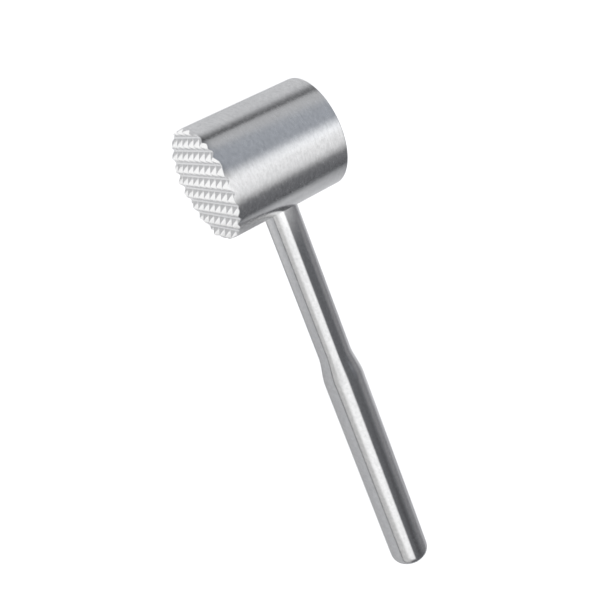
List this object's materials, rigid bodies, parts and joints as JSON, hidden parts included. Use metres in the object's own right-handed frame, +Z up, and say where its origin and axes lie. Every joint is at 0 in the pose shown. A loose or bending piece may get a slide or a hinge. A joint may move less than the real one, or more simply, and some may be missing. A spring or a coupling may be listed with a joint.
{
  "type": "meat mallet",
  "caption": "All-steel meat mallet: a cylindrical head with a smooth striking face and a milled tooth face, on a round hollow handle that flares into a thicker grip.",
  "frame": {"origin": "centre of the smooth striking face", "axes": "+Y out of the smooth striking face along the head's axis, +Z up from the floor the mallet lies on, +X towards the handle's end, which dips to that floor"},
  "size_m": [0.2519, 0.0586, 0.05],
  "materials": {
    "head_steel": "brushed round the head",
    "handle_steel": "fine satin, close to polished",
    "inner_steel": "as machined"
  },
  "bodies": {
    "root": {"head_block": "head_steel", "handle_tube": "handle_steel", "end_cap": "handle_steel", "neck_plug": "inner_steel", "joint_stud": "inner_steel", "lock_washer": "inner_steel"}
  },
  "joints": []
}
